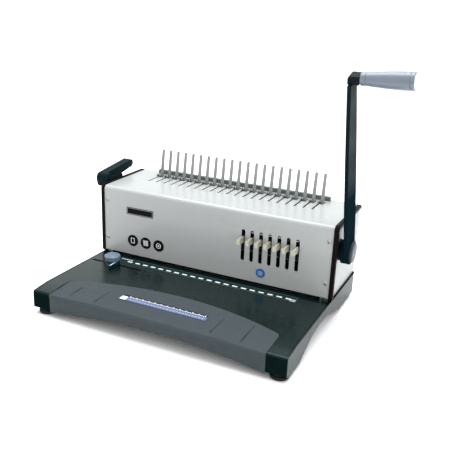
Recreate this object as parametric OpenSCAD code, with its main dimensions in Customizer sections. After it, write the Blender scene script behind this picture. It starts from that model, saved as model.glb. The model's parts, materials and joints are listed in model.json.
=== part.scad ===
// Manual comb binding machine: a hand-levered row of paper punches under a row of steel tines,
// with hooks that pull a plastic comb open. Millimetres, +X right, +Y back, +Z up.
// The origin is the middle of the base's footprint, on the surface that the feet stand on.

/* [Punching line] */
// Distance between neighbouring holes, tines and hooks
hole_pitch = 14.2875; // [14.2:0.0125:14.3]
// Holes on each side of the middle one
side_holes = 10; // [8:1:10]
// Length of one punched hole along the line
hole_l = 7.9; // [7:0.1:8]
// Width of one punched hole
hole_w = 2.9; // [2.5:0.1:3]
// Travel of the punches
punch_stroke = 10; // [9:0.5:10]

/* [Base] */
// Width of the base
base_w = 395; // [390:1:400]
// Depth of the base
base_d = 299; // [295:1:305]
// Height of the paper tray above the table
tray_z = 38.4; // [38:0.1:39]
// Height of the rubber feet
foot_h = 8.5; // [8:0.5:9]

/* [Housing] */
// Depth of the housing that stands on the back of the base
body_d = 125; // [124:1:126]
// Width of the folded top cover
cover_w = 385.2; // [384:0.2:386]
// Height of the top cover above the table
cover_z = 152.8; // [152.5:0.1:153]
// Thickness of the sheet steel covers
sheet = 1.2; // [1:0.1:1.5]

/* [Punch handle] */
// Lean of the resting handle towards the front, in degrees
handle_lean = 17.2; // [14:0.1:20]
// Distance from the drive shaft to the grip's axis
handle_l = 262; // [250:0.5:270]
// Upward cant of the grip, in degrees
grip_cant = 2.2; // [0:0.1:3]
// Length of the grip
grip_l = 64.6; // [60:0.1:75]

/* [Comb opener] */
// Height of the tines above the top cover
tine_h = 47; // [40:1:50]
// Backward lean of the tines, in degrees
tine_lean = 7.2; // [0:0.1:8]
// Teeth of the pinions that move the hooks
pinion_teeth = 16; // [16:1:16]
// Module of the pinions and racks
gear_module = 1.5; // [1.5:0.1:1.5]

/* [Hidden] */
$fn = 64;

// Datums
face_y = base_d / 2 - body_d;          // front face of the housing
back_y = base_d / 2;                   // back face of the base
front_y = -base_d / 2;                 // front face of the base
base_x = base_w / 2;
cover_x = cover_w / 2;
punch_y = face_y + 14;                 // line of punches
cover_under = cover_z - sheet;

// Base
shell_t = 2.8;                         // thickness of the base's top plate
skirt_z = 5.5;                         // lower edge of the base's sides
post_z = foot_h + 0.05;                // underside of the corner posts
side_arch_y = face_y - 38;             // middle of the arch in each side
side_arch_r = 199;
front_arch_r = 1015;
insert_x = 168;                        // half the width of the front insert
insert_r = 429;                        // radius of the insert's back edge
corner_r = 8;                          // radius of the insert's back corners
insert_back_y = face_y - 91.5;         // insert's back edge at its middle
slot_x0 = -190;                        // ends of the edge guide's slot
slot_x1 = -98;
guide_x = -152;
guide_y = face_y - 39.5;
bay_x = 169.5;                         // half the width of the drawer bay
drawer_x = 168;
drawer_y0 = 6;
drawer_z0 = 7.8;
drawer_z1 = 30;
pull_x = 32;                           // half the width of the drawer's finger pull
foot_x = 183;
foot_y = 135.5;

// Housing
frame_x0 = 180;                        // inner face of each side frame plate
frame_x1 = 183;
trim_x0 = 192.8;
trim_x1 = 199.2;
trim_proud = 1.5;
bend_r = 6;
die_x = 172.6;
screw_x = 187.2;
front_screw_z = [66, 130];
rear_screw_z = [60, 130];

// Punch drive
shaft_y = face_y + 26;
shaft_z = 111.5;
shaft_r = 6;
cam_r = 14;
cam_offset = 8;
cam_angle = 140;                       // where the cam's centre rests, from +Y towards +Z
cam_x = 119.74;
hub_r = 18.6;                          // hub of the handle's arm
beam_gap = 0.35;                       // resting gap between the cams and the beam
beam_z1 = shaft_z - cam_r + cam_offset * sin(cam_angle) - beam_gap;
beam_z0 = beam_z1 - 12;
beam_x = 170;
post_x = 160;
post_y = face_y + 14.5;
post_r = 4;
die_z0 = 32.4;
guide_z0 = 44;
guide_z1 = 50;
tip_z = 46;                            // resting height of the punches' cutting ends
first_selector = 4;                    // the selector tabs stand at holes 4 to 10
tab_z0 = beam_z1 + 0.5;
tab_out = 15;                          // how far a tab stands out of the cover
tab_dx = -1.7;                         // the tabs stand to the left of their punches' middles

// Handle
arm_x0 = 201.6;
arm_x1 = 213.4;
blade_x0 = 207.4;                      // the arm's flat blade
blade_x1 = 212.4;
arm_top = handle_l - 5.2;
grip_x = 210;                          // start of the grip's spindle
grip_z0 = 11;                          // sleeve's start, measured along the spindle
elbow_bolt_x = 208.4;

// Comb opener
pitch_r = pinion_teeth * gear_module / 2;
opener_y = face_y + 45;
opener_z = 134.5;
opener_r = 4;
pinion_x = 165;
pinion_t = 7;
rack_z = opener_z + pitch_r;           // pitch line of the racks
rack_pitch = PI * gear_module;
rack_root = rack_z + 1.9;
rack_top = cover_under - 0.4;
backlash = 0.3;
tine_y = face_y + 97.5;
tine_z = cover_z - 1.6;
hook_dx = -4.2;                        // each hook stands to the left of its tine
hook_y = face_y + 95.2;                // back of the hooks at rest
lever_x0 = -219.6;
lever_x1 = -199.7;

// ---------------------------------------------------------------- helpers
function polar(r, a) = [r * cos(a), r * sin(a)];
function arc(c, r, a0, a1, n = 8) = [for (i = [0:n]) c + polar(r, a0 + (a1 - a0) * i / n)];
function round_box(lo, hi, r) = concat(
    arc([hi.x - r, hi.y - r], r, 0, 90),
    arc([lo.x + r, hi.y - r], r, 90, 180),
    arc([lo.x + r, lo.y + r], r, 180, 270),
    arc([hi.x - r, lo.y + r], r, 270, 360));
// A low arch of half-width w and height h, whose crown is at z
function arch(w, h, z) =
    let (r = (w * w + h * h) / (2 * h), a = asin(w / r))
    arc([0, z - r], r, 90 + a, 90 - a, 24);
function inv_deg(a) = tan(a) * 180 / PI - a;

module block(lo, hi) {
    translate(lo) cube(hi - lo);
}
module along_x(x0, x1) {
    translate([x0, 0, 0]) rotate([90, 0, 90]) linear_extrude(x1 - x0) children();
}
module along_y(y0, y1) {
    translate([0, y1, 0]) rotate([90, 0, 0]) linear_extrude(y1 - y0) children();
}
module rod_x(x0, x1, r, y, z) {
    translate([x0, y, z]) rotate([0, 90, 0]) cylinder(r = r, h = x1 - x0);
}
module rod_y(y0, y1, r, x, z) {
    translate([x, y1, z]) rotate([90, 0, 0]) cylinder(r = r, h = y1 - y0);
}
module rod_z(z0, z1, r, x, y) {
    translate([x, y, z0]) cylinder(r = r, h = z1 - z0);
}
module both_sides() {
    children();
    mirror([1, 0, 0]) children();
}
module at_holes(first = -side_holes, last = side_holes) {
    for (i = [first:last]) translate([i * hole_pitch, 0, 0]) children();
}
// The handle's own frame: the origin is on the drive shaft's axis, +Z along the arm
module on_handle() {
    translate([0, shaft_y, shaft_z]) rotate([handle_lean, 0, 0]) children();
}
// The grip's own frame: +Z along its axis, from the elbow outwards
module on_grip() {
    on_handle() translate([grip_x, 0, handle_l]) rotate([0, 90 - grip_cant, 0]) children();
}
// A screw along +Z with a domed head below its seat at z = 0
module screw(shank_r, shank_l, head_r, head_h) {
    rotate_extrude() polygon(concat(
        [[0, -head_h]],
        [for (i = [0:6]) [head_r * sin(i * 15), -head_h * cos(i * 15)]],
        [[shank_r, 0], [shank_r, shank_l], [0, shank_l]]));
}

// ---------------------------------------------------------------- base
base_profile = concat(
    [[front_y, 10], [front_y + 9, skirt_z], [back_y, skirt_z], [back_y, tray_z],
     [front_y + 31, tray_z]],
    arc([front_y + 4.5, 31.6], 4.5, 80, 180));
base_cavity = [
    [front_y + 3.2, -1], [back_y - 3.2, -1], [back_y - 3.2, tray_z - shell_t],
    [front_y + 33, tray_z - shell_t], [front_y + 8, 33], [front_y + 3.2, 28.5]];

// The insert's outline: straight sides, a bowed back edge and rounded back corners
module insert_plan(grow) {
    side = insert_x + grow;
    bow = insert_r + grow;
    middle = [0, insert_back_y - insert_r];
    corner = [side - corner_r,
              middle.y + sqrt(pow(bow - corner_r, 2) - pow(side - corner_r, 2))];
    turn = atan2(corner.y - middle.y, corner.x);
    polygon(concat(
        [[side, front_y - 4]],
        arc(corner, corner_r, 0, turn),
        arc(middle, bow, turn, 180 - turn, 48),
        arc([-corner.x, corner.y], corner_r, 180 - turn, 180),
        [[-side, front_y - 4]]));
}
module side_arches() {
    rod_x(-base_x - 1, base_x + 1, side_arch_r, side_arch_y, 26 - side_arch_r, $fn = 256);
}
module front_arch(y0, y1) {
    rod_y(y0, y1, front_arch_r, 0, 21 - front_arch_r, $fn = 720);
}
module slide_slot() {
    block([slot_x0, guide_y - 2.5, 0], [slot_x1, guide_y + 2.5, tray_z + 1]);
}

module base_shell() color([0.16, 0.18, 0.19]) {
    difference() {
        union() {
            difference() {
                along_x(-base_x, base_x) polygon(base_profile);
                along_x(-base_x + 3.2, base_x - 3.2) polygon(base_cavity);
            }
            // corner posts that carry the feet
            both_sides() for (y = [-foot_y, foot_y])
                block([foot_x - 10.5, y - 11, post_z], [base_x - 3, y + 11, tray_z - 4]);
            // ribs on both sides of the drawer bay
            both_sides() block([bay_x, 0, 7.2], [bay_x + 2.6, back_y - 3, tray_z - 2]);
        }
        side_arches();
        front_arch(front_y - 5, front_y + 12);
        // seat of the front insert
        intersection() {
            linear_extrude(60) insert_plan(0.8);
            difference() {
                block([-insert_x - 2, front_y - 2, 0], [insert_x + 2, insert_back_y + 2, 60]);
                along_x(-base_x, base_x) polygon([
                    [front_y + 1.8, -1], [back_y, -1], [back_y, tray_z - 1.7],
                    [front_y + 31, tray_z - 1.7], [front_y + 6.2, 34.1], [front_y + 1.8, 30.4]]);
            }
        }
        slide_slot();
        // groove along each side edge of the tray
        both_sides() along_x(base_x - 3.4, base_x - 2.7) polygon([
            [front_y + 4, 35.4], [front_y + 31, tray_z - 0.7], [back_y + 1, tray_z - 0.7],
            [back_y + 1, 60], [front_y + 4, 60]]);
        // window for the die plate
        block([-die_x - 0.3, face_y + 2.7, 30], [die_x + 0.3, face_y + 30.3, tray_z + 1]);
        // mouth of the drawer bay
        block([-bay_x, back_y - 5, 0], [bay_x, back_y + 1, 31.5]);
        // screw holes of the feet
        both_sides() for (y = [-foot_y, foot_y]) rod_z(0, post_z + 14, 1.7, foot_x, y);
    }
}

module front_insert() color([0.42, 0.44, 0.45]) {
    rise = 0.5;
    difference() {
        intersection() {
            linear_extrude(60) insert_plan(0);
            along_x(-insert_x, insert_x) polygon(concat(
                [[insert_back_y + 2, tray_z - 1.5], [insert_back_y + 2, tray_z + rise],
                 [front_y + 31, tray_z + rise]],
                arc([front_y + 4.2, tray_z - 5], 5, 85, 180),
                [[front_y - 0.8, 30.2], [front_y - 0.2, 29.4], [front_y - 0.2, 5],
                 [front_y + 1.6, 5], [front_y + 1.6, 30.6],
                 [front_y + 6, 34.3], [front_y + 31, tray_z - 1.5]]));
            // the front edge is crowned: highest in the middle, level with the base at its ends
            translate([0, front_y, 0]) rotate([3.4, 0, 0]) along_y(-10, 90)
                polygon(concat([[-insert_x - 1, -5]], arch(insert_x + 1, 3, tray_z + 0.1),
                               [[insert_x + 1, -5]]));
        }
        front_arch(front_y - 5, front_y + 12);
    }
}

module gauge_strip() color([0.45, 0.55, 0.85]) {
    y = front_y + 36.5;
    z = tray_z + 0.55;
    block([-71, y - 3.5, z], [66, y + 12.5, z + 0.6]);
}

module hole_label() color([0.10, 0.25, 0.25]) {
    block([-155, face_y - 26.5, tray_z + 0.05], [152, face_y - 9, tray_z + 0.4]);
}

module bottom_plate() color([0.55, 0.56, 0.57]) {
    block([-bay_x - 2.6, 0, 5.9], [bay_x + 2.6, back_y - 3.4, 7.1]);
}

module rubber_feet() color([0.05, 0.05, 0.05]) {
    both_sides() for (y = [-foot_y, foot_y]) translate([foot_x, y, 0]) difference() {
        rotate_extrude() polygon([
            [0, 0], [11.8, 0], [12.8, 1.4], [12.8, 4.4], [12, 5.2], [10, 5.2], [10, foot_h], [0, foot_h]]);
        translate([0, 0, -1]) cylinder(r = 4.2, h = 4.5);
        translate([0, 0, -1]) cylinder(r = 1.8, h = foot_h + 2);
    }
}

module foot_screws() color([0.7, 0.7, 0.7]) {
    both_sides() for (y = [-foot_y, foot_y])
        translate([foot_x, y, 3.45]) screw(1.6, 16, 3.4, 1.8);
}

// ---------------------------------------------------------------- housing
module cover_profile() {
    polygon(concat(
        [[face_y, 43.5]],
        arc([face_y + bend_r, cover_z - bend_r], bend_r, 180, 90),
        [[face_y + body_d - 0.4, cover_z], [face_y + body_d - 0.4, cover_under]],
        arc([face_y + bend_r, cover_z - bend_r], bend_r - sheet, 90, 180),
        [[face_y + sheet, 43.5]]));
}

// Slot of a hook's travel, with the wider hole that its tine stands in
module tine_slot() {
    block([-5.6, face_y + 61.5, 140], [-2.8, face_y + 97, cover_z + 1]);
    block([-5.6, face_y + 91.8, 140], [3.2, face_y + 106.5, cover_z + 1]);
}

module top_cover() color([0.82, 0.84, 0.83]) {
    difference() {
        along_x(-cover_x, cover_x) cover_profile();
        at_holes() tine_slot();
        at_holes(first_selector) translate([tab_dx, 0]) along_y(face_y - 1, face_y + 3)
            polygon(round_box([-3, 74.5], [3, 124], 2.95));
        both_sides() for (z = front_screw_z) rod_y(face_y - 1, face_y + 3, 1.8, screw_x, z);
    }
}

module rear_cover() color([0.82, 0.84, 0.83]) {
    y = face_y + body_d;
    top = cover_under - 0.1;
    difference() {
        along_x(-cover_x, cover_x) polygon([
            [y, 38.7], [y, top], [y - 11, top], [y - 11, top - sheet], [y - sheet, top - sheet],
            [y - sheet, 38.7]]);
        both_sides() for (z = rear_screw_z) rod_y(y - 3, y + 1, 1.8, screw_x, z);
    }
}

module cover_screws() color([0.6, 0.6, 0.6]) {
    both_sides() {
        for (z = front_screw_z)
            translate([screw_x, face_y, z]) rotate([-90, 0, 0]) screw(1.6, 7, 3.2, 1.6);
        for (z = rear_screw_z)
            translate([screw_x, face_y + body_d, z]) rotate([90, 0, 0]) screw(1.6, 7, 3.2, 1.6);
    }
}

// C-shaped moulding round the front, top and bottom of a side panel
module trim_ring() {
    lo = [face_y - trim_proud, tray_z + 0.2];
    hi = [face_y + body_d, cover_z + trim_proud];
    difference() {
        along_x(trim_x0, trim_x1) polygon(round_box(lo, hi, 7));
        // open at the back
        along_x(trim_x0 - 1, trim_x1 + 1) polygon(round_box(lo + [6, 2.8], hi + [20, -6], 2.5));
        // a step on the outer edge
        along_x(trim_x1 - 1, trim_x1 + 1) difference() {
            polygon(round_box(lo - [5, 5], hi + [5, 5], 7));
            polygon(round_box(lo + [1.2, 1.2], hi - [1.2, 1.2], 6));
        }
    }
}
module trim_right() color([0.05, 0.06, 0.06]) trim_ring();
module trim_left() color([0.05, 0.06, 0.06]) mirror([1, 0, 0]) trim_ring();

module side_panel() {
    along_x(trim_x0 + 0.4, trim_x0 + 3.4) polygon(round_box(
        [face_y - trim_proud + 6.2, tray_z + 3.2],
        [face_y + body_d - 0.2, cover_z + trim_proud - 6.2], 2.3));
}
module side_panel_right() color([0.86, 0.87, 0.87]) {
    difference() {
        side_panel();
        rod_x(trim_x0, trim_x1, shaft_r + 1, shaft_y, shaft_z);
    }
}
module side_panel_left() color([0.86, 0.87, 0.87]) {
    difference() {
        mirror([1, 0, 0]) side_panel();
        rod_x(-trim_x1, -trim_x0, opener_r + 1, opener_y, opener_z);
    }
}

module frame_plate(drive_bore, opener_bore) {
    foot_z = tray_z + 0.2;
    difference() {
        union() {
            block([frame_x0, face_y + 1.5, foot_z], [frame_x1, face_y + 123.5, 147]);
            block([frame_x0, face_y + 1.5, foot_z + 4], [frame_x1 + 8, face_y + 4, 145]);
            block([frame_x0, face_y + 121, foot_z + 4], [frame_x1 + 8, face_y + 123.5, 145]);
            block([frame_x0, face_y + 5, foot_z], [frame_x1 + 8, face_y + 120, foot_z + 2.5]);
        }
        if (drive_bore) rod_x(frame_x0 - 1, frame_x1 + 1, 9.05, shaft_y, shaft_z);
        if (opener_bore) rod_x(frame_x0 - 1, frame_x1 + 1, 6.05, opener_y, opener_z);
        for (z = front_screw_z) rod_y(face_y, face_y + 5, 1.7, screw_x, z);
        for (z = rear_screw_z) rod_y(face_y + 120, face_y + 125, 1.7, screw_x, z);
    }
}
module frame_plate_right() color([0.6, 0.62, 0.63]) frame_plate(true, true);
module frame_plate_left() color([0.6, 0.62, 0.63]) mirror([1, 0, 0]) frame_plate(true, true);

module bushing(bore_r, outer_r, y, z) {
    difference() {
        union() {
            rod_x(frame_x0 - 1.4, frame_x1 + 1.5, outer_r, y, z);
            rod_x(frame_x0 - 1.5, frame_x0 - 0.1, outer_r + 2, y, z);
        }
        rod_x(frame_x0 - 2, frame_x1 + 2, bore_r + 0.05, y, z);
    }
}
module shaft_bushings() color([0.72, 0.53, 0.28]) {
    both_sides() bushing(shaft_r, 9, shaft_y, shaft_z);
}
module lever_bushings() color([0.72, 0.53, 0.28]) {
    both_sides() bushing(opener_r, 6, opener_y, opener_z);
}

// ---------------------------------------------------------------- punching unit
module hole_cuts(z0, z1, play) {
    at_holes() block([-hole_l / 2 - play, punch_y - hole_w / 2 - play, z0],
                     [hole_l / 2 + play, punch_y + hole_w / 2 + play, z1]);
}
module die_screw_cuts(z0, z1, r) {
    for (x = [-140, -70, 0, 70, 140]) rod_z(z0, z1, r, x, face_y + 25);
}

module die_plate() color([0.62, 0.63, 0.64]) {
    difference() {
        block([-die_x, face_y + 3, die_z0], [die_x, face_y + 30, tray_z]);
        hole_cuts(die_z0 - 1, tray_z + 1, 0.1);
        die_screw_cuts(die_z0 - 1, tray_z + 1, 2.1);
    }
}
module guide_plate() color([0.62, 0.63, 0.64]) {
    difference() {
        block([-frame_x0 + 0.1, face_y + 3, guide_z0], [frame_x0 - 0.1, face_y + 30, guide_z1]);
        hole_cuts(guide_z0 - 1, guide_z1 + 1, 0.1);
        die_screw_cuts(guide_z0 - 1, guide_z1 + 1, 2.6);
    }
}
module throat_stop() color([0.5, 0.51, 0.52]) {
    difference() {
        block([-die_x, face_y + 21, tray_z + 0.05], [die_x, face_y + 29, guide_z0 - 0.05]);
        die_screw_cuts(tray_z - 1, guide_z0 + 1, 2.6);
    }
}
module die_screws() color([0.2, 0.2, 0.2]) {
    for (x = [-140, -70, 0, 70, 140]) translate([x, face_y + 25, 0]) {
        translate([0, 0, die_z0 + 0.6]) cylinder(r = 2, h = guide_z1 - die_z0);
        translate([0, 0, guide_z1 + 0.05]) difference() {
            cylinder(r = 4.2, h = 4);
            translate([0, 0, 1.8]) cylinder(r = 2, h = 3, $fn = 6);
        }
    }
}
module beam_posts() color([0.75, 0.76, 0.77]) {
    both_sides() rod_z(guide_z1 + 0.02, beam_z1 + 1.7, post_r, post_x, post_y);
}

// Round wire along a helix from z0 to z1, as one closed tube
module coil(z0, z1, coil_r, wire_r, turns) {
    sides = 8;
    steps = turns * 12;
    rise = atan((z1 - z0) / (turns * 2 * PI * coil_r));
    points = [for (i = [0:steps]) for (k = [0:sides - 1])
        let (a = i * 30, b = k * 360 / sides,
             out = coil_r + wire_r * cos(b), up = wire_r * sin(b))
        [out * cos(a) + up * sin(rise) * sin(a), out * sin(a) - up * sin(rise) * cos(a),
         z0 + (z1 - z0) * i / steps + up * cos(rise)]];
    walls = [for (i = [0:steps - 1]) for (k = [0:sides - 1])
        let (a = i * sides + k, b = i * sides + (k + 1) % sides)
        [a, a + sides, b + sides, b]];
    polyhedron(concat(points), concat(walls,
        [[for (k = [0:sides - 1]) k]],
        [[for (k = [sides - 1:-1:0]) steps * sides + k]]));
}
module beam_springs() color([0.7, 0.71, 0.72]) {
    both_sides() translate([post_x, post_y, 0]) coil(guide_z1 + 1.2, beam_z0 - 1.2, 6.2, 0.9, 7);
}

module punch_beam() color([0.45, 0.47, 0.48]) {
    difference() {
        union() {
            block([-beam_x, face_y + 6, beam_z0], [beam_x, face_y + 24, beam_z1]);
            block([-beam_x, face_y + 5, beam_z0], [beam_x, face_y + 8, beam_z1 + 11]);
        }
        hole_cuts(beam_z0 - 1, beam_z1 + 1, 0.03);
        at_holes(first_selector) block([tab_dx - 1.1, face_y + 4, beam_z1 + 0.1],
                                       [tab_dx + 1.1, face_y + 9, beam_z1 + 9.6]);
        both_sides() block([cam_x - 5, face_y + 4, beam_z1], [cam_x + 5, face_y + 9, 130]);
        both_sides() rod_z(beam_z0 - 1, beam_z1 + 1, post_r + 0.08, post_x, post_y);
    }
}
module punches() color([0.7, 0.71, 0.72]) {
    at_holes() block([-hole_l / 2, punch_y - hole_w / 2, tip_z],
                     [hole_l / 2, punch_y + hole_w / 2, beam_z1]);
}
// A folded steel key: its inner end locks a punch, its outer end is a finger tab
module selector_tab(k) color([0.86, 0.84, 0.74]) {
    translate([(first_selector + k) * hole_pitch + tab_dx, 0, 0]) {
        block([-0.8, face_y - 1, tab_z0], [0.8, face_y + 18, tab_z0 + 8]);
        block([-0.8, face_y - tab_out, tab_z0 + 1], [0.8, face_y - 0.9, tab_z0 + 10.8]);
        along_y(face_y - tab_out, face_y - tab_out + 1.6)
            polygon(round_box([-4.6, tab_z0 + 1.4], [0.8, tab_z0 + 9.2], 1.5));
    }
}

// ---------------------------------------------------------------- punch handle
module drive_shaft() color([0.7, 0.71, 0.72]) {
    rod_x(-185, arm_x1 + 2, shaft_r, shaft_y, shaft_z);
    rod_x(-187, -184.8, shaft_r + 3, shaft_y, shaft_z);
}
module punch_cams() color([0.5, 0.5, 0.5]) {
    for (x = [-cam_x, cam_x]) difference() {
        union() {
            rod_x(x - 3, x + 3, cam_r, shaft_y + cam_offset * cos(cam_angle),
                  shaft_z + cam_offset * sin(cam_angle));
            rod_x(x - 6, x + 6, 8.6, shaft_y, shaft_z);
        }
        rod_x(x - 7, x + 7, shaft_r + 0.02, shaft_y, shaft_z);
    }
}
module pivot_boss() color([0.12, 0.13, 0.13]) {
    translate([trim_x0 + 3.5, shaft_y, shaft_z]) rotate([0, 90, 0]) difference() {
        rotate_extrude() polygon([[0, 0], [15.4, 0], [15.4, 3.2], [13.9, 4.8], [0, 4.8]]);
        translate([0, 0, -1]) cylinder(r = shaft_r + 0.6, h = 8);
    }
}
blade_edge = [[19.6, 25], [20.3, 50], [20, 90], [18.6, 140], [16.6, 190], [14, 235], [12.6, arm_top]];
module handle_arm() color([0.13, 0.15, 0.16]) {
    difference() {
        union() {
            // hub
            rod_x(arm_x0, arm_x1, hub_r, shaft_y, shaft_z);
            // flat blade, broadest above the hub
            on_handle() along_x(blade_x0, blade_x1) polygon(concat(
                arc([0, 0], hub_r, 180, 360, 24), blade_edge,
                [for (i = [len(blade_edge) - 1:-1:0]) [-blade_edge[i].x, blade_edge[i].y]]));
        }
        rod_x(arm_x0 - 1, arm_x1 + 1, shaft_r + 0.02, shaft_y, shaft_z);
    }
}
module hub_cap() color([0.35, 0.37, 0.38]) {
    translate([arm_x1 + 0.05, shaft_y, shaft_z]) rotate([0, 90, 0]) difference() {
        rotate_extrude() polygon(concat(
            [[0, 0], [15.5, 0], [15.5, 2.4]], arc([13.9, 2.4], 1.6, 0, 90, 4),
            [[6, 4.4], [0, 4.4]]));
        translate([0, 0, -1]) cylinder(r = shaft_r + 0.02, h = 3.1);
    }
}
module arm_elbow() color([0.07, 0.08, 0.08]) {
    on_handle() difference() {
        along_y(-7.8, 7.8) polygon(concat(
            [[206.2, arm_top + 0.05], [220.2, arm_top + 0.05], [220.2, handle_l + 5.8]],
            arc([210.2, handle_l + 1.8], 4, 90, 180)));
        translate([grip_x, 0, handle_l]) rotate([0, 90 - grip_cant, 0]) translate([0, 0, 1.2])
            cylinder(r = 4.02, h = 24);
        rod_y(-9, 9, 1.22, elbow_bolt_x, handle_l - 1.5);
    }
}
module elbow_bolt() color([0.3, 0.31, 0.32]) {
    on_handle() translate([elbow_bolt_x, -7.9, handle_l - 1.5]) rotate([-90, 0, 0]) {
        cylinder(r = 1.2, h = 14);
        translate([0, 0, -1.2]) cylinder(r = 2.1, h = 1.2);
    }
}
module grip_spindle() color([0.7, 0.71, 0.72]) {
    on_grip() translate([0, 0, 1.4]) {
        cylinder(r = 4, h = grip_z0 + grip_l - 6.1);
        translate([0, 0, grip_z0 + grip_l - 6.1]) cylinder(r = 5.6, h = 1.2);
    }
}
module grip_sleeve() color([0.62, 0.66, 0.72]) {
    on_grip() translate([0, 0, grip_z0]) difference() {
        rotate_extrude() polygon(concat(
            [[0, 0], [7.6, 0], [8.2, 0.8], [8.2, 6.2], [7.9, 6.8], [8.2, 7.4]],
            [for (i = [0:8]) [8.2 + 2.9 * sin(i * 11.25), 7.4 + (grip_l - 13.4) * i / 8]],
            [[10.5, grip_l - 5.4], [10.5, grip_l - 4.6], [11.3, grip_l - 4],
             [11.3, grip_l - 1], [10.4, grip_l - 0.2], [0, grip_l - 0.2]]));
        translate([0, 0, -1]) cylinder(r = 4.06, h = grip_l + 2);
        translate([0, 0, grip_l - 5]) cylinder(r = 9, h = 6);
    }
}
module grip_end_cap() color([0.85, 0.87, 0.9]) {
    on_grip() translate([0, 0, grip_z0 + grip_l - 1.2]) rotate_extrude()
        polygon([[0, 0], [8.95, 0], [8.95, 0.6], [7.6, 1.7], [0, 2.1]]);
}

// ---------------------------------------------------------------- comb opener
module tine_bar() color([0.08, 0.09, 0.09]) {
    block([-154, face_y + 95.9, 143], [154, face_y + 112, tine_z - 0.2]);
    both_sides() block([154, face_y + 104, 143], [frame_x0 - 0.1, face_y + 112, 147]);
}
module binding_tines() color([0.66, 0.68, 0.69]) {
    top = tine_h + 1.4;
    at_holes() translate([0, tine_y + 0.8, tine_z]) rotate([-tine_lean, 0, 0])
        along_y(-1.7, 0) polygon(concat([[3, 0]], arc([0, top - 2.3], 2.3, 0, 180), [[-3, 0]]));
}
module comb_rest() color([0.12, 0.15, 0.15]) {
    y = face_y + 113;
    along_x(-158.5, 150.5) polygon(concat(
        [[y, cover_z + 0.05], [y + 6, cover_z + 0.05]],
        arc([y + 4.4, cover_z + 5.4], 1.6, 0, 90, 4), arc([y + 1.6, cover_z + 5.4], 1.6, 90, 180, 4)));
}
module slide_rails() color([0.5, 0.52, 0.53]) {
    both_sides() block([170, face_y + 5, rack_root - 3], [frame_x0 - 0.1, face_y + 103, rack_root - 0.2]);
}
module rack_teeth() {
    tip = rack_z - gear_module;
    function half(z) = rack_pitch / 4 - backlash / 2 + (z - rack_z) * tan(20);
    along_x(pinion_x - pinion_t / 2, pinion_x + pinion_t / 2) for (k = [-2:7])
        translate([opener_y + (k + 0.5) * rack_pitch, 0]) polygon([
            [-half(tip), tip], [half(tip), tip],
            [half(rack_root) + 0.01, rack_root + 0.1], [-half(rack_root) - 0.01, rack_root + 0.1]]);
}
module hook_carriage() color([0.55, 0.57, 0.58]) {
    block([-160, face_y + 86, 133], [160, face_y + 95.4, 141]);
    both_sides() {
        block([157.6, face_y + 86, 133], [161, face_y + 95.4, rack_top]);
        block([157.6, face_y + 32, rack_root], [176, face_y + 95.4, rack_top]);
        rack_teeth();
    }
}
module comb_hooks() color([0.78, 0.79, 0.8]) {
    at_holes() along_x(hook_dx - 0.8, hook_dx + 0.8) polygon(concat(
        [[hook_y, 141.05], [hook_y, cover_z + 3]],
        arc([hook_y - 2, cover_z + 3], 2, 0, 90, 4),
        [[hook_y - 7, cover_z + 5], [hook_y - 7.6, cover_z + 1.6], [hook_y - 4, cover_z + 2.2],
         [hook_y - 4, 141.05]]));
}
module lever_shaft() color([0.7, 0.71, 0.72]) {
    rod_x(-204.5, 185, opener_r, opener_y, opener_z);
}
module pinion() {
    base_r = pitch_r * cos(20);
    root_r = pitch_r - 1.875;
    tip_r = pitch_r + gear_module;
    play = backlash / 2 / pitch_r * 90 / PI;
    function half(r) = 90 / pinion_teeth - play + inv_deg(20) - inv_deg(acos(base_r / r));
    radii = [for (i = [0:5]) base_r + (tip_r - base_r) * i / 5];
    difference() {
        along_x(pinion_x - pinion_t / 2, pinion_x + pinion_t / 2) polygon([
            for (k = [0:pinion_teeth - 1]) let (c = k * 360 / pinion_teeth)
                each concat(
                    [polar(root_r, c - half(base_r))],
                    [for (r = radii) polar(r, c - half(r))],
                    [for (i = [5:-1:0]) polar(radii[i], c + half(radii[i]))],
                    [polar(root_r, c + half(base_r))])]);
        rod_x(0, 200, opener_r + 0.02, 0, 0);
    }
}
module lever_pinions() color([0.6, 0.6, 0.58]) {
    translate([0, opener_y, opener_z]) both_sides() pinion();
}
module comb_lever() color([0.07, 0.08, 0.09]) {
    elbow_r = 8.5;
    difference() {
        union() {
            // elbow over the housing's front corner
            hull() {
                rod_x(lever_x0, lever_x1, elbow_r, face_y + 26, 150.5, $fn = 32);
                rod_x(lever_x0, lever_x1, elbow_r, face_y + 24.5, 157.5, $fn = 32);
            }
            // cheek that runs down to the shaft
            hull() {
                rod_x(-205.2, lever_x1, elbow_r, face_y + 26, 150.5, $fn = 32);
                rod_x(-205.2, lever_x1, 9, opener_y, opener_z, $fn = 32);
                rod_x(-205.2, lever_x1, 4, face_y + 59, 155, $fn = 32);
            }
            // hand bar
            hull() {
                rod_x(lever_x0, -204.6, elbow_r, face_y + 24.5, 157.5, $fn = 32);
                rod_x(lever_x0 + 0.5, -204.6, 6.3, face_y + 96, 168.2, $fn = 32);
            }
        }
        rod_x(-204.6, lever_x1 + 1, opener_r + 0.02, opener_y, opener_z);
    }
}

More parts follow.
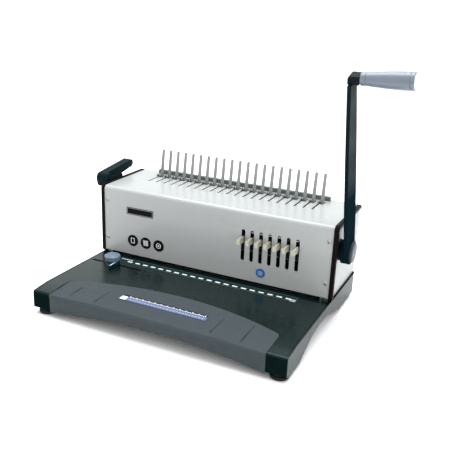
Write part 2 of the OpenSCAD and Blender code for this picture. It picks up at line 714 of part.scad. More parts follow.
// ---------------------------------------------------------------- edge guide
module edge_guide() color([0.08, 0.11, 0.12]) {
    difference() {
        union() {
            rod_z(tray_z + 0.2, 44.5, 12.2, guide_x, guide_y);
            translate([guide_x, guide_y, tray_z + 0.2]) linear_extrude(44.5 - tray_z - 0.2)
                polygon([[-9, -8], [8.2, -22.5], [10.2, -21.2], [10.2, 6], [0, 10]]);
            block([guide_x - 3, guide_y - 2.1, 33], [guide_x + 3, guide_y + 2.1, 39]);
            block([guide_x - 9, guide_y - 6, 30.4], [guide_x + 9, guide_y + 6, 33.2]);
        }
        rod_z(34, 46, 2.04, guide_x, guide_y);
    }
}
module guide_pointer() color([0.9, 0.92, 0.95]) {
    block([guide_x + 8.3, guide_y - 20.2, 44.55], [guide_x + 10, guide_y + 2, 45]);
}
module guide_knob() color([0.67, 0.73, 0.84]) {
    translate([guide_x, guide_y, 0]) {
        rod_z(34.4, 46, 2, 0, 0);
        translate([0, 0, 45.1]) difference() {
            rotate_extrude() polygon(concat(
                [[0, 0], [11.4, 0], [12.4, 1], [12.4, 7.4]], arc([11.2, 7.4], 1.2, 0, 90, 4),
                [[4, 8.9], [0, 8.9]]));
            for (a = [0:30:330]) rotate(a) translate([13.1, 0, -1]) cylinder(r = 1.2, h = 6.2);
        }
    }
}

// ---------------------------------------------------------------- chip drawer
module chip_drawer() color([0.1, 0.1, 0.11]) {
    wall = 2;
    y1 = back_y - 0.9;
    difference() {
        block([-drawer_x, drawer_y0, drawer_z0], [drawer_x, y1, drawer_z1]);
        block([-drawer_x + wall, drawer_y0 + wall, drawer_z0 + wall],
              [drawer_x - wall, y1 - wall, drawer_z1 + 1]);
    }
}
module drawer_front() color([0.14, 0.15, 0.16]) {
    y = back_y + 0.3;
    // plug that stands in the mouth of the bay
    block([-drawer_x, y - 1.1, 8.2], [drawer_x, y + 0.1, 30.2]);
    along_y(y, y + 2.4) polygon(round_box([-drawer_x - 3.4, 6.2], [drawer_x + 3.4, 33], 2.5));
    // finger pull
    block([-pull_x, y + 2.3, 24], [pull_x, y + 11.5, 26.5]);
    block([-pull_x, y + 9.5, 19], [pull_x, y + 11.5, 24.1]);
}

// ---------------------------------------------------------------- plates on the cover
module nameplate() color([0.08, 0.08, 0.08]) {
    along_y(face_y - 0.5, face_y - 0.03) polygon(round_box([-150, 112], [-101, 124], 1));
}
module badges() color([0.1, 0.1, 0.1]) {
    for (x = [-138.9, -114.6, -90.6]) rod_y(face_y - 0.5, face_y - 0.03, 9.6, x, 68);
    rod_y(face_y - 0.5, face_y - 0.03, 7.2, 86, 60);
}

base_shell();
front_insert();
gauge_strip();
hole_label();
bottom_plate();
rubber_feet();
foot_screws();
top_cover();
rear_cover();
cover_screws();
trim_left();
trim_right();
side_panel_left();
side_panel_right();
frame_plate_left();
frame_plate_right();
shaft_bushings();
lever_bushings();
die_plate();
guide_plate();
throat_stop();
die_screws();
beam_posts();
beam_springs();
punch_beam();
punches();
selector_tab(0);  // selector_tab_1
selector_tab(1);  // selector_tab_2
selector_tab(2);  // selector_tab_3
selector_tab(3);  // selector_tab_4
selector_tab(4);  // selector_tab_5
selector_tab(5);  // selector_tab_6
selector_tab(6);  // selector_tab_7
drive_shaft();
punch_cams();
pivot_boss();
handle_arm();
hub_cap();
arm_elbow();
elbow_bolt();
grip_spindle();
grip_sleeve();
grip_end_cap();
tine_bar();
binding_tines();
comb_rest();
slide_rails();
hook_carriage();
comb_hooks();
lever_shaft();
lever_pinions();
comb_lever();
edge_guide();
guide_pointer();
guide_knob();
chip_drawer();
drawer_front();
nameplate();
badges();
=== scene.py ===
import json
from math import cos, pi, radians, sin, sqrt

import bmesh
import bpy
from mathutils import Matrix, Vector


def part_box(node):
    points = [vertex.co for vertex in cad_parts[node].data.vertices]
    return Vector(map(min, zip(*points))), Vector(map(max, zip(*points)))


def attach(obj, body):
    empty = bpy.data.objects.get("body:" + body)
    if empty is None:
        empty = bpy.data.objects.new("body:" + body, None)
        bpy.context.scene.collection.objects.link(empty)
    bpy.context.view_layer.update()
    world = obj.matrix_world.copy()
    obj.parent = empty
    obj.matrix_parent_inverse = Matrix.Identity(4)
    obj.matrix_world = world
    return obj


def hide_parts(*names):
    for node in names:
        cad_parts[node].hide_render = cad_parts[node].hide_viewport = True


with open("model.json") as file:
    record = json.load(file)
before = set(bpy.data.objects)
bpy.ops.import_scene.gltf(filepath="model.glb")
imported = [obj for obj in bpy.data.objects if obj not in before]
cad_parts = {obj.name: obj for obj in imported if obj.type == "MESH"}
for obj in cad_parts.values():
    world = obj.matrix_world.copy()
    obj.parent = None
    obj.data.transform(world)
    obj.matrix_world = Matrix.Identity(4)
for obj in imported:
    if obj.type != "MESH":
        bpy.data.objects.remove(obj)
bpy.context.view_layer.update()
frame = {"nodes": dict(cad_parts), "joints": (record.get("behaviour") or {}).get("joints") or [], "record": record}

# Looks of a manual comb binding machine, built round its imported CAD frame. Metres.

MM = 0.001                      # metres in a millimetre
record = frame["record"]
BODY_OF = {n: body for body, nodes in record["behaviour"]["bodies"].items() for n in nodes}
SLOT_OF = {s["node"]: s["material_slot"] for s in record["subparts"]}
JOINTS = {j["name"]: j for j in frame["joints"]}
HOLE_PITCH = 14.2875 * MM
HOLES = range(-10, 11)          # the middle hole is 0
COAT_ROUGHNESS = 0.08
BASE_SIDE_X = 197.1 * MM        # outer sides of the base, and where their painted side light and lower gloss start
BASE_SIDE_START = 196.85 * MM
BASE_FRONT_Y = -149.3 * MM      # front of the base's corners, and where the gloss turned down there by position starts
BASE_FRONT_START = -148.5 * MM
BASE_GLOSS = 0.34


# ------------------------------------------------------------------ materials
class Surface:
    """One procedural material. Its texture coordinates are metres in the rest frame."""

    def __init__(self, name, color, roughness, metallic=0.0, coat=0.0, specular=0.5):
        self.material = bpy.data.materials.new(name)
        self.material.use_nodes = True
        self.tree = self.material.node_tree
        self.shader = self.tree.nodes["Principled BSDF"]
        self.shader.inputs["Metallic"].default_value = metallic
        self.shader.inputs["Coat Weight"].default_value = coat
        self.shader.inputs["Coat Roughness"].default_value = COAT_ROUGHNESS
        self.shader.inputs["Specular IOR Level"].default_value = specular
        self.shader.inputs["Base Color"].default_value = (*color, 1)
        self.shader.inputs["Roughness"].default_value = roughness
        self.color = color
        self.roughness = roughness
        self.normal = None

    def node(self, kind, **inputs):
        made = self.tree.nodes.new(kind)
        for key, value in inputs.items():
            made.inputs[key.replace("_", " ")].default_value = value
        return made

    def link(self, output, target):
        self.tree.links.new(output, target)

    def noise(self, size, detail=2.0, stretch=(1, 1, 1)):
        """Noise from 0 to 1 whose features are about size metres across."""
        place = self.node("ShaderNodeTexCoord")
        mapping = self.node("ShaderNodeMapping", Scale=stretch)
        texture = self.node("ShaderNodeTexNoise", Scale=1 / size, Detail=detail)
        self.link(place.outputs["Object"], mapping.inputs["Vector"])
        self.link(mapping.outputs["Vector"], texture.inputs["Vector"])
        return texture.outputs["Fac"]

    def graded(self, value, start, end, low, high):
        """Runs from low where value is start to high where it is end."""
        ranged = self.node("ShaderNodeMapRange", From_Min=start, From_Max=end,
                           To_Min=low, To_Max=high)
        self.link(value, ranged.inputs["Value"])
        return ranged.outputs["Result"]

    def spread(self, value, low, high):
        """Stretches a noise's middle part to the range low to high."""
        return self.graded(value, 0.3, 0.7, low, high)

    def tint(self, value, other, amount, low=0.35, high=0.65):
        """Blends the colour so far towards other where value is high."""
        mix = self.tree.nodes.new("ShaderNodeMix")
        mix.data_type = "RGBA"
        self.link(self.graded(value, low, high, 0.0, amount), mix.inputs["Factor"])
        base = self.shader.inputs["Base Color"]
        if base.is_linked:
            self.link(base.links[0].from_socket, mix.inputs["A"])
        else:
            mix.inputs["A"].default_value = (*self.color, 1)
        mix.inputs["B"].default_value = (*other, 1)
        self.link(mix.outputs["Result"], base)
        return self

    def mottle(self, size, amount):
        light = [min(1, c * (1 + amount)) for c in self.color]
        return self.tint(self.noise(size, 4), light, 1.0)

    def uneven_gloss(self, size, amount, stretch=(1, 1, 1)):
        rough = self.spread(self.noise(size, 3, stretch),
                            max(0.02, self.roughness - amount), self.roughness + amount)
        self.link(rough, self.shader.inputs["Roughness"])
        return self

    def relief(self, size, depth, detail=2.0, stretch=(1, 1, 1), strength=0.5):
        bump = self.node("ShaderNodeBump", Strength=strength, Distance=depth)
        self.link(self.noise(size, detail, stretch), bump.inputs["Height"])
        if self.normal:
            self.link(self.normal, bump.inputs["Normal"])
        self.normal = bump.outputs["Normal"]
        self.link(self.normal, self.shader.inputs["Normal"])
        return self

    def worn_edges(self, color, amount):
        """Lighter along convex edges, broken up by noise."""
        geometry = self.node("ShaderNodeNewGeometry")
        multiply = self.tree.nodes.new("ShaderNodeMath")
        multiply.operation = "MULTIPLY"
        self.link(geometry.outputs["Pointiness"], multiply.inputs[0])
        self.link(self.spread(self.noise(0.004, 3), 0.92, 1.06), multiply.inputs[1])
        return self.tint(multiply.outputs["Value"], color, amount, 0.52, 0.58)

    def position(self, axis, absolute=False):
        """Distance along one of the rest frame's axes."""
        place = self.node("ShaderNodeTexCoord")
        axes = self.tree.nodes.new("ShaderNodeSeparateXYZ")
        self.link(place.outputs["Object"], axes.inputs["Vector"])
        if not absolute:
            return axes.outputs[axis]
        distance = self.tree.nodes.new("ShaderNodeMath")
        distance.operation = "ABSOLUTE"
        self.link(axes.outputs[axis], distance.inputs[0])
        return distance.outputs["Value"]


def paint(name, color, roughness, coat=0.0, specular=0.5, orange_peel=0.5, wear=0.35):
    made = Surface(name, color, roughness, 0.0, coat, specular)
    made.mottle(0.05, 0.05)
    made.tint(made.noise(0.0005, 1), [c * 0.8 for c in color], 0.35)
    made.uneven_gloss(0.02, 0.05)
    made.relief(0.0012, 0.00003, strength=orange_peel)
    made.relief(0.0003, 0.00001, strength=0.35)
    return made.worn_edges([min(1, c * 1.25 + 0.015) for c in color], wear)


def moulded(name, color, roughness, coat=0.0, specular=0.5, grain=0.4):
    made = Surface(name, color, roughness, 0.0, coat, specular)
    made.mottle(0.03, 0.06)
    made.uneven_gloss(0.01, 0.06)
    made.relief(0.0006, 0.00002, 3, strength=grain)
    return made.worn_edges([min(1, c * 1.3 + 0.006) for c in color], 0.3)


def metal(name, color, roughness, along=(0.02, 1, 1), streaks=0.6):
    made = Surface(name, color, roughness, 1.0)
    made.mottle(0.02, 0.08)
    made.tint(made.noise(0.0004, 2, along), [c * 0.75 for c in color], streaks)
    made.uneven_gloss(0.0006, 0.1, along)
    made.relief(0.0004, 0.00001, 2, along, 0.5)
    return made.worn_edges([min(1, c * 1.2) for c in color], 0.4)


def printed(name, color, roughness=0.35, specular=0.12):
    made = Surface(name, color, roughness, specular=specular)
    made.mottle(0.004, 0.08)
    made.uneven_gloss(0.003, 0.05)
    return made.relief(0.0004, 0.000006, strength=0.3)


LOOKS = {
    "base_paint": paint("base_paint", (0.002, 0.0065, 0.0065), 0.24, specular=BASE_GLOSS,
                        orange_peel=0.2, wear=0.10),
    "insert_plastic": moulded("insert_plastic", (0.034, 0.043, 0.048), 0.55, specular=0.1,
                              grain=0.6),
    "gauge_print": printed("gauge_print", (0.09, 0.12, 0.235)),
    "label_print": printed("label_print", (0.006, 0.018, 0.018), 0.3),
    "plate_steel": metal("plate_steel", (0.33, 0.34, 0.35), 0.38),
    "foot_rubber": moulded("foot_rubber", (0.008, 0.008, 0.008), 0.7, specular=0.2, grain=0.8),
    "zinc_steel": metal("zinc_steel", (0.42, 0.41, 0.39), 0.34, (1, 1, 1)),
    "cover_paint": paint("cover_paint", (0.295, 0.306, 0.302), 0.36, coat=0.25),
    "trim_plastic": moulded("trim_plastic", (0.006, 0.004, 0.004), 0.34, specular=0.02, grain=0.15),
    "panel_paint": paint("panel_paint", (0.26, 0.272, 0.272), 0.42, coat=0.1),
    "bushing_bronze": metal("bushing_bronze", (0.46, 0.31, 0.16), 0.35),
    "tool_steel": metal("tool_steel", (0.22, 0.225, 0.23), 0.36),
    "bright_steel": metal("bright_steel", (0.48, 0.49, 0.50), 0.22),
    "tab_steel": paint("tab_steel", (0.42, 0.40, 0.31), 0.40, coat=0.2),
    "dark_metal": paint("dark_metal", (0.003, 0.010, 0.013), 0.44, specular=0.02, wear=0.12),
    "hub_plastic": moulded("hub_plastic", (0.020, 0.032, 0.038), 0.34, specular=0.15),
    "elbow_plastic": moulded("elbow_plastic", (0.004, 0.007, 0.009), 0.42, specular=0.05),
    "grip_plastic": moulded("grip_plastic", (0.118, 0.140, 0.172), 0.34, coat=0.2, grain=0.25),
    "cap_plastic": moulded("cap_plastic", (0.62, 0.66, 0.70), 0.3, grain=0.2),
    "tine_steel": metal("tine_steel", (0.27, 0.275, 0.265), 0.45, (1, 1, 0.2), 0.2),
    "rest_plastic": moulded("rest_plastic", (0.085, 0.115, 0.11), 0.5, specular=0.3),
    "guide_plastic": moulded("guide_plastic", (0.004, 0.016, 0.022), 0.30, specular=0.3),
    "pointer_print": printed("pointer_print", (0.50, 0.55, 0.62)),
    "knob_plastic": moulded("knob_plastic", (0.105, 0.145, 0.205), 0.32, specular=0.45),
    "drawer_plastic": moulded("drawer_plastic", (0.012, 0.014, 0.015), 0.5, specular=0.3),
    "plate_print": printed("plate_print", (0.005, 0.005, 0.005), 0.5, 0.03),
}
WHITE_PRINT = printed("white_print", (0.72, 0.74, 0.74))
GREY_PRINT = printed("grey_print", (0.30, 0.31, 0.31))
TEAL_PRINT = printed("teal_print", (0.04, 0.10, 0.10))
BLUE_PRINT = printed("blue_print", (0.015, 0.10, 0.34))
SILVER_PRINT = printed("silver_print", (0.30, 0.33, 0.36), 0.3)
DARK_LINE = printed("dark_line", (0.008, 0.010, 0.012), 0.6)

# painted light: the base's outer sides are tinted a lighter grey than its tray to stand for the right lamp's light
# on the same dark paint, and the gloss is graded by position, lower on the sides and none on the front corners, to
# paint in how much they reflect
base = LOOKS["base_paint"]
base.shader.inputs["Specular Tint"].default_value = (0.25, 0.52, 0.50, 1)
sideways = base.position("X", True)
side_gloss = base.graded(sideways, BASE_SIDE_START, BASE_SIDE_X, BASE_GLOSS, 0.03)
corner_gloss = base.graded(base.position("Y"), BASE_FRONT_Y, BASE_FRONT_START, 0.0, 1.0)
gloss = base.tree.nodes.new("ShaderNodeMath")
gloss.operation = "MULTIPLY"
base.link(side_gloss, gloss.inputs[0])
base.link(corner_gloss, gloss.inputs[1])
base.link(gloss.outputs["Value"], base.shader.inputs["Specular IOR Level"])
# painted light: the lighter grey on the outer sides stands for the right lamp's light on the same dark paint
base.tint(sideways, (0.052, 0.059, 0.057), 1.0, BASE_SIDE_START, BASE_SIDE_X)

# painted sheen: the arm's gloss is graded by height, none at its foot and a little towards its top, to stand for
# the lighter top that the lighting gives it
ARM_PAINT = paint("arm_paint", (0.003, 0.010, 0.013), 0.44, specular=0.0, wear=0.05)
arm_painted_sheen = ARM_PAINT.graded(ARM_PAINT.position("Z"), 0.20, 0.36, 0.0, 0.03)
ARM_PAINT.link(arm_painted_sheen, ARM_PAINT.shader.inputs["Specular IOR Level"])

for node, obj in frame["nodes"].items():
    obj.material_slots[0].material = LOOKS[SLOT_OF[node]].material


# ------------------------------------------------------------------ mesh tools
def add_piece(name, bm, body, slot, look=None, replaces=(), smooth=40):
    """Makes an object of bm that rides on body and stands for the CAD nodes in replaces."""
    bmesh.ops.recalc_face_normals(bm, faces=bm.faces)
    mesh = bpy.data.meshes.new(name)
    bm.to_mesh(mesh)
    bm.free()
    mesh.shade_smooth()
    mesh.set_sharp_from_angle(angle=radians(smooth))
    mesh.materials.append((look or LOOKS[slot]).material)
    obj = bpy.data.objects.new(name, mesh)
    bpy.context.scene.collection.objects.link(obj)
    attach(obj, body)
    if replaces:
        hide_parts(*replaces)
    return obj


def rounded(node, width, look=None, segments=3, limit=32):
    """Stands for a CAD node with the same solid whose sharp edges are rounded."""
    bm = bmesh.new()
    bm.from_mesh(frame["nodes"][node].data)
    for layer in list(bm.loops.layers.float_vector):
        bm.loops.layers.float_vector.remove(layer)
    bmesh.ops.remove_doubles(bm, verts=bm.verts, dist=0.002 * MM)
    bmesh.ops.dissolve_limit(bm, angle_limit=radians(0.4), verts=bm.verts, edges=bm.edges)
    obj = add_piece(node + "_soft", bm, BODY_OF[node], SLOT_OF[node], look, [node])
    bevel = obj.modifiers.new("edges", "BEVEL")
    bevel.width = width
    bevel.segments = segments
    bevel.limit_method = "ANGLE"
    bevel.angle_limit = radians(limit)
    bevel.harden_normals = True
    bevel.miter_outer = "MITER_ARC"
    weighted = obj.modifiers.new("flat_faces", "WEIGHTED_NORMAL")
    weighted.weight = 90
    weighted.keep_sharp = False
    return obj


def lathe(name, profile, where, body, slot, replaces=(), steps=96, shape=None):
    """Turns (height, radius) points round where's Z axis.

    shape(angle, height) scales the radius.
    """
    bm = bmesh.new()
    rings = []
    for height, radius in profile:
        if radius == 0:
            rings.append([bm.verts.new(where @ Vector((0, 0, height)))])
            continue
        ring = []
        for i in range(steps):
            a = 2 * pi * i / steps
            r = radius * (shape(a, height) if shape else 1)
            ring.append(bm.verts.new(where @ Vector((r * cos(a), r * sin(a), height))))
        rings.append(ring)
    for low, high in zip(rings, rings[1:]):
        for i in range(steps):
            j = (i + 1) % steps
            corners = [low[i % len(low)], low[j % len(low)],
                       high[j % len(high)], high[i % len(high)]]
            bm.faces.new(list(dict.fromkeys(corners)))
    return add_piece(name, bm, body, slot, replaces=replaces, smooth=35)


def on_top(z):
    """Plane that looks up at height z: u is +X, v is +Y."""
    return Matrix.Translation((0, 0, z))


def on_front(y):
    """Plane that looks forwards at y: u is +X, v is +Z."""
    return Matrix(((1, 0, 0, 0), (0, 0, -1, y), (0, 1, 0, 0), (0, 0, 0, 1)))


def box_outline(u0, v0, u1, v1, radius=0.0, steps=5):
    if radius == 0:
        return [(u0, v0), (u1, v0), (u1, v1), (u0, v1)]
    points = []
    for cu, cv, start in ((u1 - radius, v0 + radius, -90), (u1 - radius, v1 - radius, 0),
                          (u0 + radius, v1 - radius, 90), (u0 + radius, v0 + radius, 180)):
        for i in range(steps + 1):
            a = radians(start + 90 * i / steps)
            points.append((cu + radius * cos(a), cv + radius * sin(a)))
    return points


def circle_outline(u, v, radius, steps=48):
    return [(u + radius * cos(2 * pi * i / steps), v + radius * sin(2 * pi * i / steps))
            for i in range(steps)]


def slab(bm, outline, plane, thickness, base=0.0, hole=None):
    """A thin plate on a plane, with an optional hole of as many points as the outline."""
    def ring(points, height):
        return [bm.verts.new(plane @ Vector((u, v, height))) for u, v in points]
    low, high = ring(outline, base), ring(outline, base + thickness)
    n = len(outline)
    for i in range(n):
        bm.faces.new((low[i], low[(i + 1) % n], high[(i + 1) % n], high[i]))
    if hole is None:
        bm.faces.new(high)
        bm.faces.new(low[::-1])
        return
    low_in, high_in = ring(hole, base), ring(hole, base + thickness)
    for i in range(n):
        j = (i + 1) % n
        bm.faces.new((low_in[j], low_in[i], high_in[i], high_in[j]))
        bm.faces.new((high[i], high[j], high_in[j], high_in[i]))
        bm.faces.new((low[j], low[i], low_in[i], low_in[j]))


def plates(name, outlines, plane, thickness, body, slot, look, base=0.0):
    bm = bmesh.new()
    for outline in outlines:
        slab(bm, outline, plane, thickness, base)
    return add_piece(name, bm, body, slot, look)


def axis_frame(origin, axis, up=Vector((0, 0, 1))):
    """Placement whose Z runs along axis."""
    z = Vector(axis).normalized()
    x = up.cross(z).normalized()
    y = z.cross(x)
    turn = Matrix((x, y, z)).transposed().to_4x4()
    return Matrix.Translation(origin) @ turn


# ------------------------------------------------------------------ softened CAD pieces
ROUNDED = {
    "base_shell": 0.9, "front_insert": 0.6, "rear_cover": 0.22,
    "trim_left": 0.5, "trim_right": 0.5, "side_panel_left": 0.3, "side_panel_right": 0.3,
    "handle_arm": 0.9, "arm_elbow": 2.0, "comb_lever": 1.6, "binding_tines": 0.3,
    "comb_hooks": 0.2, "comb_rest": 0.3, "tine_bar": 0.5, "edge_guide": 0.8,
    "chip_drawer": 0.5, "drawer_front": 0.7, "pivot_boss": 0.4, "hook_carriage": 0.3,
    "punch_beam": 0.4, "bottom_plate": 0.2, "throat_stop": 0.3, "die_plate": 0.25,
    "rubber_feet": 0.5}
for node, width in ROUNDED.items():
    rounded(node, width * MM, ARM_PAINT if node == "handle_arm" else None)
for k in range(1, 8):
    rounded(f"selector_tab_{k}", 0.25 * MM)

# ------------------------------------------------------------------ turned pieces
grip_joint = JOINTS["grip_spin"]
grip_place = axis_frame(grip_joint["pos_m"], grip_joint["axis"])
GRIP_START, GRIP_END = 11.0 * MM, 75.4 * MM
belly = [(GRIP_START + (7.4 + 51.2 * i / 14) * MM, (8.2 + 2.9 * sin(pi / 2 * i / 14)) * MM)
         for i in range(15)]
lathe("grip_body",
      [(GRIP_START, 4.2 * MM), (GRIP_START, 7.2 * MM), (GRIP_START + 0.25 * MM, 7.75 * MM),
       (GRIP_START + 0.9 * MM, 8.1 * MM), (GRIP_START + 6.0 * MM, 8.2 * MM),
       (GRIP_START + 6.3 * MM, 7.7 * MM), (GRIP_START + 6.8 * MM, 7.7 * MM),
       (GRIP_START + 7.1 * MM, 8.1 * MM)] + belly +
      [(GRIP_END - 5.5 * MM, 11.0 * MM), (GRIP_END - 5.3 * MM, 10.5 * MM),
       (GRIP_END - 4.7 * MM, 10.5 * MM), (GRIP_END - 4.4 * MM, 10.9 * MM),
       (GRIP_END - 3.9 * MM, 11.1 * MM), (GRIP_END - 1.2 * MM, 11.1 * MM),
       (GRIP_END - 0.6 * MM, 10.9 * MM), (GRIP_END - 0.15 * MM, 10.5 * MM),
       (GRIP_END, 10.2 * MM), (GRIP_END, 9.15 * MM), (GRIP_END - 0.3 * MM, 9.0 * MM),
       (GRIP_END - 4.6 * MM, 9.0 * MM), (GRIP_END - 4.6 * MM, 4.2 * MM)],
      grip_place, "grip", "grip_plastic", ["grip_sleeve"])
lathe("grip_plug",
      [(GRIP_END - 1.0 * MM, 0), (GRIP_END - 1.0 * MM, 8.7 * MM), (GRIP_END - 0.2 * MM, 8.85 * MM),
       (GRIP_END + 0.3 * MM, 8.6 * MM), (GRIP_END + 0.75 * MM, 7.6 * MM),
       (GRIP_END + 0.75 * MM, 5.4 * MM), (GRIP_END + 0.5 * MM, 5.1 * MM),
       (GRIP_END + 0.5 * MM, 1.6 * MM), (GRIP_END + 0.85 * MM, 1.2 * MM), (GRIP_END + 0.9 * MM, 0)],
      grip_place, "grip", "cap_plastic", ["grip_end_cap"])

cap_low, cap_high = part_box("hub_cap")
cap_place = axis_frame((cap_low.x, (cap_low.y + cap_high.y) / 2, (cap_low.z + cap_high.z) / 2),
                       (1, 0, 0))
lathe("hub_button",
      [(0, 5 * MM), (0, 15.1 * MM), (0.2 * MM, 15.4 * MM), (2.4 * MM, 15.5 * MM),
       (3.2 * MM, 15.2 * MM), (3.8 * MM, 14.5 * MM), (4.1 * MM, 13.4 * MM), (4.2 * MM, 11.2 * MM),
       (3.9 * MM, 10.9 * MM), (3.9 * MM, 10.3 * MM), (4.2 * MM, 10 * MM), (4.4 * MM, 5 * MM),
       (4.4 * MM, 0)],
      cap_place, "handle", "hub_plastic", ["hub_cap"])

knob_low, knob_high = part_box("guide_knob")
knob_place = Matrix.Translation(((knob_low.x + knob_high.x) / 2, (knob_low.y + knob_high.y) / 2,
                                 knob_high.z - 8.9 * MM))


def scalloped(angle, height):
    """Twelve shallow finger grooves below the knob's rim."""
    depth = max(0.0, min(1.0, (6.2 * MM - height) / (1.2 * MM)))
    return 1 - 0.075 * depth * max(0.0, cos(12 * angle)) ** 2


lathe("knob_body",
      [(-10.6 * MM, 0), (-10.6 * MM, 1.8 * MM), (-10.2 * MM, 2 * MM), (0, 2 * MM), (0, 10.8 * MM),
       (0.3 * MM, 11.6 * MM), (1 * MM, 12.2 * MM), (2 * MM, 12.4 * MM), (3.4 * MM, 12.4 * MM),
       (4.6 * MM, 12.4 * MM), (5.2 * MM, 12.4 * MM), (5.8 * MM, 12.4 * MM), (6.3 * MM, 12.4 * MM),
       (7.6 * MM, 12.4 * MM), (8.2 * MM, 12.1 * MM), (8.6 * MM, 11.5 * MM), (8.7 * MM, 10.8 * MM),
       (8.5 * MM, 10.2 * MM), (8.1 * MM, 9.8 * MM), (8.1 * MM, 7.4 * MM), (8.4 * MM, 6.9 * MM),
       (8.9 * MM, 6.6 * MM), (8.9 * MM, 0)],
      knob_place, "knob", "knob_plastic", ["guide_knob"], steps=144, shape=scalloped)


HEAD_RADIUS, HEAD_HEIGHT, HEAD_RINGS, HEAD_STEPS = 3.2 * MM, 1.6 * MM, 14, 48
RECESS_HALF, RECESS_REACH, RECESS_DEPTH = 0.42 * MM, 1.9 * MM, 0.75 * MM


def cross_head(bm, place):
    """Dome of a screw with a cross recess; place's Z points outwards from the seat."""
    rings = []
    for k in range(HEAD_RINGS + 1):
        radius = HEAD_RADIUS * k / HEAD_RINGS
        dome = HEAD_HEIGHT * sqrt(max(0.0, 1 - (k / HEAD_RINGS) ** 2))
        ring = []
        for i in range(HEAD_STEPS):
            a = 2 * pi * i / HEAD_STEPS
            u, v = radius * cos(a), radius * sin(a)
            near, far = sorted((abs(u), abs(v)))
            recess = near < RECESS_HALF and far < RECESS_REACH
            ring.append(bm.verts.new(place @ Vector((u, v, dome - RECESS_DEPTH * recess))))
            if k == 0:
                break
        rings.append(ring)
    for low, high in zip(rings, rings[1:]):
        for i in range(HEAD_STEPS):
            j = (i + 1) % HEAD_STEPS
            corners = [low[i % len(low)], low[j % len(low)], high[j], high[i]]
            bm.faces.new(list(dict.fromkeys(corners)))
    bm.faces.new(rings[-1][::-1])


screw_low, screw_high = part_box("cover_screws")
SCREW_X = 187.2 * MM
screws = bmesh.new()
for x in (-SCREW_X, SCREW_X):
    for z in (66 * MM, 130 * MM):
        cross_head(screws, axis_frame((x, screw_low.y + HEAD_HEIGHT, z), (0, -1, 0)))
    for z in (60 * MM, 130 * MM):
        cross_head(screws, axis_frame((x, screw_high.y - HEAD_HEIGHT, z), (0, 1, 0)))
add_piece("cross_screws", screws, "frame", "zinc_steel", replaces=["cover_screws"])

# ------------------------------------------------------------------ print on the tray
label_low, label_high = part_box("hole_label")
label_top = on_top(label_high.z)
mark_y = label_low.y + 6.5 * MM
mark_half = 1.7 * MM
plates("hole_marks",
       [box_outline(i * HOLE_PITCH - 7.2 * MM, mark_y - mark_half,
                    i * HOLE_PITCH + 1.2 * MM, mark_y + mark_half, 0.8 * MM) for i in HOLES[1:]],
       label_top, 0.12 * MM, "frame", "label_print", WHITE_PRINT)
plates("label_end", [box_outline(label_high.x - 9 * MM, label_low.y + 0.5 * MM,
                                 label_high.x - 0.5 * MM, label_low.y + 8 * MM, 0.8 * MM)],
       label_top, 0.1 * MM, "frame", "label_print", SILVER_PRINT)
rim = bmesh.new()
rim_width = 0.9 * MM
slab(rim, box_outline(label_low.x, label_low.y, label_high.x, label_high.y), label_top, 0.08 * MM,
     hole=box_outline(label_low.x + rim_width, label_low.y + rim_width,
                      label_high.x - rim_width, label_high.y - rim_width))
add_piece("label_rim", rim, "frame", "label_print", TEAL_PRINT)
plates("label_ticks",
       [box_outline(label_low.x + (4 + 2.4 * i) * MM, label_low.y + 11.5 * MM,
                    label_low.x + (5.4 + 2.4 * i) * MM, label_low.y + 14 * MM) for i in range(9)],
       label_top, 0.1 * MM, "frame", "label_print", WHITE_PRINT)

gauge_low, gauge_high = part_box("gauge_strip")
gauge_top = on_top(gauge_high.z)
gauge_split = gauge_low.y + 8.6 * MM
plates("gauge_band", [box_outline(gauge_low.x + 0.4 * MM, gauge_split, gauge_high.x - 0.4 * MM,
                                  gauge_high.y - 0.4 * MM, 0.6 * MM)],
       gauge_top, 0.08 * MM, "frame", "gauge_print", DARK_LINE)
plates("gauge_ticks",
       [box_outline(gauge_low.x + (12 + 2.5 * i) * MM, gauge_split + 0.5 * MM,
                    gauge_low.x + (13.1 + 2.5 * i) * MM,
                    gauge_split + (4.6 if i % 4 == 0 else 2.8) * MM, 0.2 * MM) for i in range(49)],
       gauge_top, 0.13 * MM, "frame", "gauge_print", WHITE_PRINT)
plates("gauge_end", [box_outline(gauge_low.x + 0.4 * MM, gauge_low.y + 0.4 * MM,
                                 gauge_low.x + 10 * MM, gauge_low.y + 10 * MM, 0.8 * MM)],
       gauge_top, 0.14 * MM, "frame", "gauge_print", WHITE_PRINT)
plates("gauge_figures",
       [box_outline(gauge_low.x + (15 + 5 * i) * MM, gauge_low.y + 2.6 * MM,
                    gauge_low.x + (18 + 5 * i) * MM, gauge_low.y + 4.4 * MM, 0.5 * MM)
        for i in range(24)],
       gauge_top, 0.1 * MM, "frame", "gauge_print", SILVER_PRINT)

# short seams in the front insert
insert_low, insert_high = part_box("front_insert")
seams = bmesh.new()
for x, length in ((-138, 30), (-95, 36), (86, 44), (130, 46)):
    slab(seams, box_outline((x - 0.45) * MM, insert_low.y + 9 * MM, (x + 0.45) * MM,
                            insert_low.y + (9 + length) * MM, 0.3 * MM),
         on_top(insert_high.z), 0.06 * MM)
add_piece("insert_seams", seams, "frame", "insert_plastic", DARK_LINE)

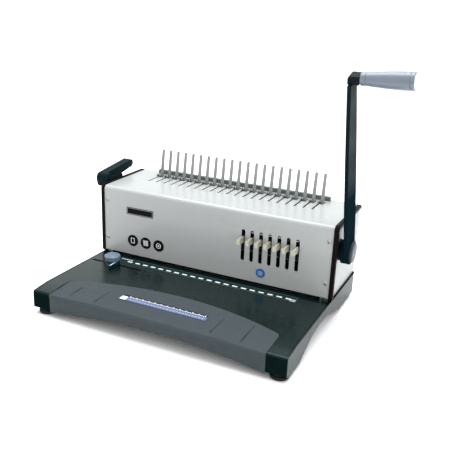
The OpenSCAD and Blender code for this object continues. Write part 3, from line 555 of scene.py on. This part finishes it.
# ------------------------------------------------------------------ print on the cover
badge_low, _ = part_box("badges")
badge_front = on_front(badge_low.y)
badge_z = 68 * MM
PICTOGRAM = 0.12 * MM
pictures = bmesh.new()
page_u = -138.9 * MM
slab(pictures, box_outline(page_u - 3.4 * MM, badge_z - 4.6 * MM, page_u + 3.4 * MM,
                           badge_z + 4.6 * MM, 0.6 * MM), badge_front, PICTOGRAM,
     hole=box_outline(page_u - 2.5 * MM, badge_z - 3.7 * MM, page_u + 2.5 * MM,
                      badge_z + 3.7 * MM, 0.3 * MM))
stack_u = -114.6 * MM
for row in range(-2, 3):
    slab(pictures, box_outline(stack_u - 4.6 * MM, badge_z + (1.9 * row - 0.5) * MM,
                               stack_u + 4.6 * MM, badge_z + (1.9 * row + 0.5) * MM, 0.4 * MM),
         badge_front, PICTOGRAM)
comb_u = -90.6 * MM
slab(pictures, circle_outline(comb_u, badge_z, 4.4 * MM), badge_front, PICTOGRAM,
     hole=circle_outline(comb_u, badge_z, 3.5 * MM))
slab(pictures, circle_outline(comb_u, badge_z, 1.5 * MM), badge_front, PICTOGRAM)
add_piece("badge_pictures", pictures, "frame", "plate_print", WHITE_PRINT)
blue_u, blue_z = 86 * MM, 60 * MM
plates("round_badge", [circle_outline(blue_u, blue_z, 7.2 * MM)], badge_front, 0.1 * MM,
       "frame", "plate_print", BLUE_PRINT)
plates("round_badge_bars",
       [box_outline(blue_u - half * MM, blue_z + (z - 0.7) * MM,
                    blue_u + half * MM, blue_z + (z + 0.7) * MM, 0.5 * MM)
        for z, half in ((2, 3.4), (-0.4, 4.2), (-2.8, 2.6))],
       badge_front, 0.05 * MM, "frame", "plate_print", SILVER_PRINT, 0.1 * MM)

plate_low, plate_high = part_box("nameplate")
border = bmesh.new()
slab(border, box_outline(plate_low.x + 0.9 * MM, plate_low.z + 0.9 * MM, plate_high.x - 0.9 * MM,
                         plate_high.z - 0.9 * MM, 0.8 * MM), on_front(plate_low.y), 0.08 * MM,
     hole=box_outline(plate_low.x + 1.5 * MM, plate_low.z + 1.5 * MM, plate_high.x - 1.5 * MM,
                      plate_high.z - 1.5 * MM, 0.5 * MM))
add_piece("nameplate_border", border, "frame", "plate_print", GREY_PRINT)

# ------------------------------------------------------------------ stage, light and camera
floor_mesh = bpy.data.meshes.new("floor")
FLOOR = 40
floor_mesh.from_pydata([(-FLOOR, -FLOOR, 0), (FLOOR, -FLOOR, 0), (FLOOR, FLOOR, 0),
                        (-FLOOR, FLOOR, 0)], [], [(0, 1, 2, 3)])
floor_look = Surface("floor_card", (0.93, 0.93, 0.93), 0.9, specular=0.1)
floor_look.mottle(0.5, 0.02)
floor_mesh.materials.append(floor_look.material)
floor = bpy.data.objects.new("floor", floor_mesh)
bpy.context.scene.collection.objects.link(floor)

world = bpy.data.worlds.new("studio")
bpy.context.scene.world = world
world.use_nodes = True
world.node_tree.nodes["Background"].inputs["Color"].default_value = (1, 1, 1, 1)
world.node_tree.nodes["Background"].inputs["Strength"].default_value = 1.3


def softbox(name, place, target, width, height, power):
    data = bpy.data.lights.new(name, "AREA")
    data.shape = "RECTANGLE"
    data.size, data.size_y, data.energy = width, height, power
    data.color = (0.93, 0.97, 1)
    light = bpy.data.objects.new(name, data)
    light.matrix_world = axis_frame(Vector(place), Vector(place) - Vector(target),
                                    Vector((0, 1, 0.1)))
    bpy.context.scene.collection.objects.link(light)


softbox("overhead", (-0.1, 0.25, 1.6), (0, 0, 0.1), 1.6, 1.2, 38)
softbox("right_side", (1.7, 0.1, 0.9), (0.1, 0, 0.1), 1.2, 1.0, 8)

azimuth, elevation, roll = radians(24.934), radians(19.327), radians(2.228)
forward = Vector((-sin(azimuth) * cos(elevation), cos(azimuth) * cos(elevation), -sin(elevation)))
level = Vector((cos(azimuth), sin(azimuth), 0))
upward = level.cross(forward)
right = cos(roll) * level + sin(roll) * upward
up = -sin(roll) * level + cos(roll) * upward
CAMERA_PLACE = (0.42046, -0.82645, 0.45404)
camera_data = bpy.data.cameras.new("camera")
camera_data.sensor_width = 36
camera_data.lens = 53.058
camera_data.clip_end = 200
camera = bpy.data.objects.new("camera", camera_data)
camera.matrix_world = (Matrix.Translation(CAMERA_PLACE)
                       @ Matrix((right, up, -forward)).transposed().to_4x4())
bpy.context.scene.collection.objects.link(camera)
bpy.context.scene.camera = camera
bpy.context.scene.view_settings.view_transform = "Standard"
